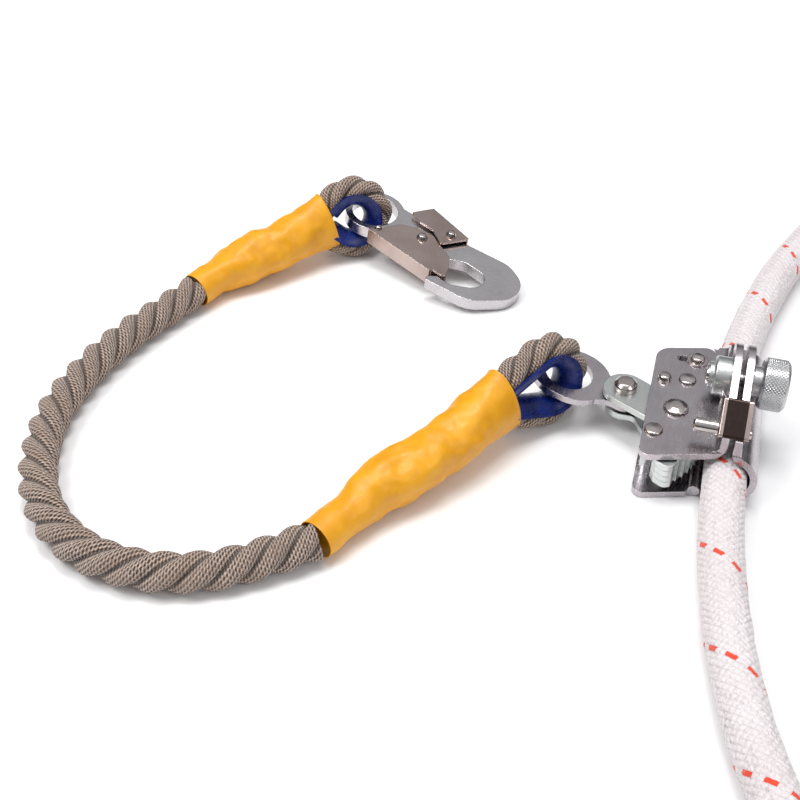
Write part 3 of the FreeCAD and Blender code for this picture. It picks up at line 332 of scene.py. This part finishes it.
def skin(name, rings, u, v, slot, body):
    """A closed tube through rings of points (mm), with a UV map of u by ring and v by column."""
    count, sides = rings.shape[:2]
    points = np.maximum(rings.reshape(-1, 3), (-1e9, -1e9, FLOOR + 0.02)) / 1000.0
    row, column = np.meshgrid(np.arange(count - 1), np.arange(sides), indexing="ij")
    after = (column + 1) % sides
    faces = np.stack([row * sides + column, row * sides + after,
                      (row + 1) * sides + after, (row + 1) * sides + column], -1).reshape(-1, 4)
    mesh = bpy.data.meshes.new(name)
    ends = [list(range(sides))[::-1], list(range((count - 1) * sides, count * sides))]
    mesh.from_pydata(points.tolist(), [], faces.tolist() + ends)
    v = np.asarray(v, float)
    if v.ndim == 1:
        v = np.broadcast_to(v, (count, sides + 1))
    u = np.broadcast_to(np.asarray(u, float)[:, None], (count, sides + 1))
    corners = []
    for r, c in ((row, column), (row, column + 1), (row + 1, column + 1), (row + 1, column)):
        corners.append(np.stack([u[r, c], v[r, c]], -1).reshape(-1, 2))
    values = np.stack(corners, 1).reshape(-1, 2)
    values = np.concatenate([values, np.zeros((2 * sides, 2))])
    layer = mesh.uv_layers.new(name="UVMap")
    layer.data.foreach_set("uv", values.astype(np.float32).ravel())
    mesh.polygons.foreach_set("use_smooth", [True] * len(mesh.polygons))
    mesh.materials.append(FINISHES[slot])
    mesh.update()
    piece = bpy.data.objects.new(name, mesh)
    bpy.context.collection.objects.link(piece)
    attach(piece, body)
    return piece


def wobble(points, scale, seed):
    """Smooth noise from -1 to 1 at each point."""
    flat = points.reshape(-1, 3) / scale
    values = [noise.noise(Vector((x + seed, y - seed, z + 2 * seed))) for x, y, z in flat]
    return np.array(values).reshape(points.shape[:-1])


def laid_rope(name, line, along, up, diameter, lay, body, start=0.0):
    """Three strands laid left-handed, as one lobed skin that turns with the lay."""
    first, second = frames(line, up)
    strand, offset = 0.283 * diameter, 0.217 * diameter
    local = np.radians(np.linspace(-60, 60, STRAND_STEPS + 1))[:-1]
    radius = offset * np.cos(local) + np.sqrt(strand ** 2 - (offset * np.sin(local)) ** 2)
    around = np.concatenate([local + math.radians(120 * k) for k in range(3)])
    radius = np.tile(radius, 3)
    angle = around[None] - (2 * math.pi * (along / lay) + start)[:, None]
    loosened = 1 + 0.022 * np.sin(along / 9.0 + start)[:, None] * np.cos(angle)
    reach = radius[None] * loosened
    across = first[:, None] * np.cos(angle)[..., None] + second[:, None] * np.sin(angle)[..., None]
    rings = line[:, None] + across * reach[..., None]
    rough = wobble(rings, 3.1, 4.7)
    rings = rings + across * (0.16 * rough)[..., None]
    v = np.concatenate([np.repeat(np.arange(3), STRAND_STEPS) + np.tile(
        np.arange(STRAND_STEPS) / STRAND_STEPS, 3), [3.0]]) * STRAND_WIDTH
    return skin(name, rings, along * 0.13, v, "lanyard_fibre", body)


def braided_rope(name, line, along, up, diameter, body, start):
    """A braided sheath in relief: each yarn stands up where it passes over two others."""
    first, second = frames(line, up)
    sides = 8 * CARRIERS
    around = np.arange(sides + 1) / sides
    laid = (along + start) / BRAID_PITCH
    one = CARRIERS * (around[None] + laid[:, None])
    other = CARRIERS * (around[None] - laid[:, None])
    over = np.mod(np.floor(one) + np.floor(other), 4) < 1.5
    place = np.where(over, one - np.floor(one), other - np.floor(other))
    height = np.sqrt(np.clip(1 - (2 * place - 1) ** 2, 0, 1))[:, :-1]
    angle = (2 * math.pi * around[:-1])[None]
    across = first[:, None] * np.cos(angle)[..., None] + second[:, None] * np.sin(angle)[..., None]
    plain = line[:, None] + across * (diameter / 2)
    reach = diameter / 2 - YARN_RELIEF + YARN_RELIEF * height + 0.30 * wobble(plain, 9.0, 1.3)
    ends = np.clip(np.minimum(along, along[-1] - along) / 3.0, 0, 1)
    reach = reach * np.sqrt(1 - 0.75 * (1 - ends) ** 2)[:, None]
    rings = line[:, None] + across * reach[..., None]
    return skin(name, rings, CARRIERS * laid, CARRIERS * around, "lifeline_sheath", body)


# ---------------------------------------------------------------- the two rope eyes
class Eye:
    """Where one rope eye stands: its centre, its axis, and the leaning plane that it lies in."""

    def __init__(self, x, y, heading, lean, half_turn, mouth, leg):
        self.half_turn, self.mouth, self.leg = half_turn, mouth, leg
        heading, lean = math.radians(heading), math.radians(lean)
        self.axis = np.array((math.cos(heading), math.sin(heading), 0.0))
        side = np.array((-math.sin(heading), math.cos(heading), 0.0))
        self.up = side * math.cos(lean) + np.array((0, 0, math.sin(lean)))
        self.across = np.cross(self.axis, self.up)
        self.centre = np.array((x, y, FLOOR + EYE_ROPE / 2 + EYE_BEND * math.sin(lean)))

    def at(self, x, y, z=0.0):
        return self.centre + self.axis * x + self.up * y + self.across * z


EYES = {"grab": Eye(-81.0, 1.9, 50.0, 78.0, 109.0, -24.0, 25.0),
        "hook": Eye(-203.8, 106.2, 35.0, 78.0, 132.0, -14.0, 9.0)}


def rope_eye(name, eye, start):
    """The rope round one thimble: a bend with two straight legs that end inside the sleeve."""
    turns = np.radians(np.linspace(-eye.half_turn, eye.half_turn, 140))
    bend = [eye.at(EYE_BEND * math.cos(a), EYE_BEND * math.sin(a)) for a in turns]
    legs = []
    for side in (-1, 1):
        a = side * math.radians(eye.half_turn)
        x, y = EYE_BEND * math.cos(a), EYE_BEND * math.sin(a)
        legs.append(eye.at(x - eye.leg * abs(math.sin(a)), y + side * eye.leg * math.cos(a)))
    line, along = evenly(np.array([legs[0]] + bend + [legs[1]]), EYE_STEP)
    piece = laid_rope("eye_rope_" + name, line, along, eye.across, EYE_ROPE, EYE_LAY, "lanyard",
                      start)
    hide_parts("rope_eye_" + name)


rope_eye("grab", EYES["grab"], 0.4)
rope_eye("hook", EYES["hook"], 1.6)


# ---------------------------------------------------------------- the lanyard's rope
ROPE_LOW = FLOOR + LANYARD_DIAMETER / 2
LANYARD = [
    (-151.5, -104.5, ROPE_LOW + 1.0), (-168.0, -119.0, ROPE_LOW), (-189.0, -132.5, ROPE_LOW),
    (-214.0, -138.5, ROPE_LOW), (-240.0, -134.5, ROPE_LOW), (-263.5, -119.5, ROPE_LOW),
    (-280.0, -95.0, ROPE_LOW), (-289.0, -64.0, ROPE_LOW), (-288.5, -32.0, ROPE_LOW),
    (-281.0, -2.0, ROPE_LOW), (-271.5, 22.0, ROPE_LOW), (-264.4, 37.5, ROPE_LOW + 1.0),
]
route, along = evenly(spline_line(LANYARD), ROUTE_STEP)
lanyard = laid_rope("lanyard", route, along, (0, 0, 1), LANYARD_DIAMETER, LANYARD_LAY, "lanyard")
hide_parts("lanyard_rope")


# ---------------------------------------------------------------- the lifeline
ROPE_MID, ROPE_LAID = -0.5, FLOOR + LIFELINE_DIAMETER / 2
LIFELINE = {
    "low": [
        (0, 0, ROPE_MID), (0, -42, ROPE_MID), (1.8, -68, ROPE_LAID + 0.3),
        (5.2, -96, ROPE_LAID + 0.1), (11.5, -128, ROPE_LAID + 0.1), (21.0, -158, ROPE_LAID + 0.1),
        (34.0, -186, ROPE_LAID + 0.1)],
    "high": [
        (0, 0.02, ROPE_MID), (0, 42, ROPE_MID), (2.4, 68, ROPE_LAID + 0.3),
        (7.4, 96, ROPE_LAID + 0.1), (14.6, 126, ROPE_LAID + 0.1), (24.6, 156, ROPE_LAID + 0.1),
        (37.0, 185, ROPE_LAID + 0.1)],
}
for name, points in LIFELINE.items():
    route, along = evenly(spline_line(points), ROUTE_STEP)
    rope = braided_rope("lifeline_rope_" + name, route, along, (0, 0, 1), LIFELINE_DIAMETER,
                        "grab_body", TRACER_START[name])
    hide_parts("lifeline_" + name)


# ---------------------------------------------------------------- heat-shrunk sleeves
SLEEVE_ROWS, SLEEVE_SIDES, SMOOTHING = 130, 96, 40
ROPE_END, MOUTH = 8.5, (15.4, 9.6)   # radius at the rope's end, and the two radii of the mouth
# Each edge is turned in: its size against the first or last ring, and its distance past that ring.
LIP = ((1.035, 0.35), (1.02, 0.75), (0.955, 0.75), (0.93, 0.2), (0.90, -2.2), (0.6, -3.0))
HEM = ((0.62, -3.0), (0.90, -1.2), (0.955, 0.15), (0.99, 0.3))


def through(stations, count):
    """Evenly spaced points of a cubic spline through stations of any number of columns."""
    s = np.array(stations, float)
    gap = np.linalg.norm(np.diff(s[:, :3], axis=0), axis=1)
    at = np.concatenate([[0], np.cumsum(gap)])
    slope = np.diff(s, axis=0) / gap[:, None]
    w = gap[:, None]
    inner = (slope[:-1] * w[1:] + slope[1:] * w[:-1]) / (w[1:] + w[:-1])
    lean = np.concatenate([slope[:1], inner, slope[-1:]])
    where = np.linspace(0, at[-1], count)
    i = np.clip(np.searchsorted(at, where, side="right") - 1, 0, len(gap) - 1)
    h = gap[i][:, None]
    t = ((where - at[i]) / gap[i])[:, None]
    return ((2 * t ** 3 - 3 * t ** 2 + 1) * s[i] + (t ** 3 - 2 * t ** 2 + t) * h * lean[i]
            + (3 * t ** 2 - 2 * t ** 3) * s[i + 1] + (t ** 3 - t ** 2) * h * lean[i + 1])


def sleeve(name, eye, rope_end, stations, seed):
    """A lumpy skin shrunk from the rope's size to the flattened mouth that holds both legs."""
    rows = [(*rope_end, ROPE_END, ROPE_END)]
    rows += [(x, y, FLOOR + z, r, r * 0.985) for x, y, r, z in stations]
    rows.append((*eye.at(eye.mouth, 0), *MOUTH))
    rows = through(rows, SLEEVE_ROWS)
    for _ in range(SMOOTHING):
        rows[1:-1] = (rows[:-2] + 2 * rows[1:-1] + rows[2:]) / 4
    line, major, minor = rows[:, :3], rows[:, 3], rows[:, 4]
    long_way, short_way = frames(line, eye.up)
    turns = np.linspace(0, 2 * math.pi, SLEEVE_SIDES, endpoint=False)[None]
    share = np.linspace(0, 1, len(line))[:, None]
    across = (long_way[:, None] * (major[:, None] * np.cos(turns))[..., None]
              + short_way[:, None] * (minor[:, None] * np.sin(turns))[..., None])
    rings = line[:, None] + across
    swell = np.clip(np.minimum(share, 1 - share) / 0.16, 0.12, 1)
    lumps = 1.7 * wobble(rings, 12.0, seed) + 0.6 * wobble(rings, 5.0, seed + 3)
    folds = 0.30 * np.sin(7 * turns + 5 * np.sin(9 * share + seed)) * np.clip(share - 0.5, 0, 1)
    rings = rings + unit(across) * (swell * (lumps - 0.1 + folds))[..., None]
    rim = rings[-1]
    centre = line[-1]
    ahead = unit(line[-1] - line[-4])
    lips = [centre + (rim - centre) * k + ahead * d for k, d in LIP]
    start = rings[0]
    hem = [line[0] + (start - line[0]) * k - unit(line[1] - line[0]) * d for k, d in HEM]
    rings = np.concatenate([hem, rings, lips])
    piece = skin("sleeve_skin_" + name, rings, np.arange(len(rings)) * 0.1,
                 np.linspace(0, 1, SLEEVE_SIDES + 1), "sleeve_plastic", "lanyard")
    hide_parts("sleeve_" + name)


sleeve("grab", EYES["grab"], LANYARD[0], [
    (-140.5, -81.5, 9.3, 10.0), (-136.5, -74.0, 11.4, 12.2), (-124.5, -59.5, 12.6, 14.2),
    (-114.6, -46.0, 11.8, 16.0), (-107.0, -33.5, 12.0, 18.6)], 2.0)
sleeve("hook", EYES["hook"], LANYARD[-1], [
    (-258.0, 51.0, 9.3, 10.2), (-248.5, 62.5, 12.2, 13.2), (-239.8, 72.5, 12.2, 15.0),
    (-230.0, 82.5, 11.6, 17.3)], 7.0)


# ---------------------------------------------------------------- knurl on the closure screw
def knurl(centre, low, high, radius, count):
    """A band of raised diamonds round the screw's knob, which runs along X."""
    columns, pitch = 6 * count, 2 * math.pi * radius / count
    rows = int(round((high - low) / pitch * 6)) + 1
    x = np.linspace(low, high, rows)[:, None]
    turn = np.arange(columns)[None] / columns
    one = np.mod(turn * count + x / pitch, 1)
    other = np.mod(turn * count - x / pitch, 1)
    height = np.minimum(1 - np.abs(2 * one - 1), 1 - np.abs(2 * other - 1))
    edge = np.clip(np.minimum(x - low, high - x) / 0.8, 0, 1)
    reach = radius - 0.12 + 0.62 * height * edge
    angle = 2 * math.pi * turn
    rings = np.stack([np.broadcast_to(x, reach.shape), centre[0] + reach * np.cos(angle),
                      centre[1] + reach * np.sin(angle)], -1)
    band = skin("knob_knurl", rings, np.arange(rows) * 0.1, np.linspace(0, 1, columns + 1),
                "knurled_steel", "closure_screw")
    band.data.polygons.foreach_set("use_smooth", [False] * len(band.data.polygons))


knurl((9.5, 21.5), 8.9, 18.3, 10.75, 46)


# ---------------------------------------------------------------- floor, light and camera
def floor():
    """White paper under the object."""
    mesh = bpy.data.meshes.new("floor")
    size, z = 3.0, FLOOR / 1000 - 0.0003
    mesh.from_pydata([(-size, -size, z), (size, -size, z), (size, size, z), (-size, size, z)], [],
                     [(0, 1, 2, 3)])
    finish = Finish("floor_paper", (0.92, 0.92, 0.925), 0.85)
    finish.colour(finish.mix(finish.noise(6), (0.915, 0.915, 0.92), (0.93, 0.93, 0.935)))
    mesh.materials.append(finish.material)
    piece = bpy.data.objects.new("floor", mesh)
    bpy.context.collection.objects.link(piece)


def softbox(name, place, target, size, power):
    """A rectangular area light turned towards its target."""
    light = bpy.data.lights.new(name, "AREA")
    light.shape = "RECTANGLE"
    light.size, light.size_y, light.energy = size[0], size[1], power
    holder = bpy.data.objects.new(name, light)
    bpy.context.collection.objects.link(holder)
    holder.location = place
    holder.rotation_euler = (Vector(target) - Vector(place)).to_track_quat("-Z", "Y").to_euler()


def sky():
    """Soft surroundings: bright above, a dark band low down for the steel to reflect."""
    world = bpy.data.worlds.new("studio")
    world.use_nodes = True
    tree = world.node_tree
    where = tree.nodes.new("ShaderNodeTexCoord")
    parts = tree.nodes.new("ShaderNodeSeparateXYZ")
    ramp = tree.nodes.new("ShaderNodeValToRGB")
    tree.links.new(where.outputs["Generated"], parts.inputs[0])
    tree.links.new(parts.outputs["Z"], ramp.inputs["Fac"])
    stops = ramp.color_ramp.elements
    stops[0].position, stops[0].color = 0.0, (0.30, 0.30, 0.31, 1)
    stops[1].position, stops[1].color = 0.95, (1.0, 1.0, 1.0, 1)
    for place, level in ((0.10, 0.10), (0.30, 0.16), (0.46, 0.46), (0.64, 0.72), (0.80, 0.85)):
        stop = stops.new(place)
        stop.color = (level, level, level * 1.02, 1)
    tree.links.new(ramp.outputs[0], tree.nodes["Background"].inputs["Color"])
    tree.nodes["Background"].inputs["Strength"].default_value = 0.72
    bpy.context.scene.world = world


floor()
sky()
MIDDLE = (-0.12, 0.0, 0.0)
softbox("key", (-0.75, -0.35, 1.05), MIDDLE, (0.55, 0.55), 8.0)
softbox("fill", (0.85, -0.45, 0.75), MIDDLE, (0.5, 0.7), 2.6)
softbox("top", (-0.1, 0.15, 1.5), MIDDLE, (0.7, 0.5), 11.0)

camera = bpy.data.objects.new("camera", bpy.data.cameras.new("camera"))
bpy.context.collection.objects.link(camera)
camera.location = (-0.03565, -0.3886, 0.3340)
pitch = math.radians(41.0)
level = Vector((-0.2756, 0.9613, 0)).normalized()
look = level * math.cos(pitch) - Vector((0, 0, 1)) * math.sin(pitch)
camera.rotation_euler = look.to_track_quat("-Z", "Y").to_euler()
camera.data.lens = 51.75
camera.data.sensor_width = 36.0
camera.data.clip_start = 0.01
bpy.context.scene.camera = camera
bpy.context.scene.view_settings.view_transform = "Standard"
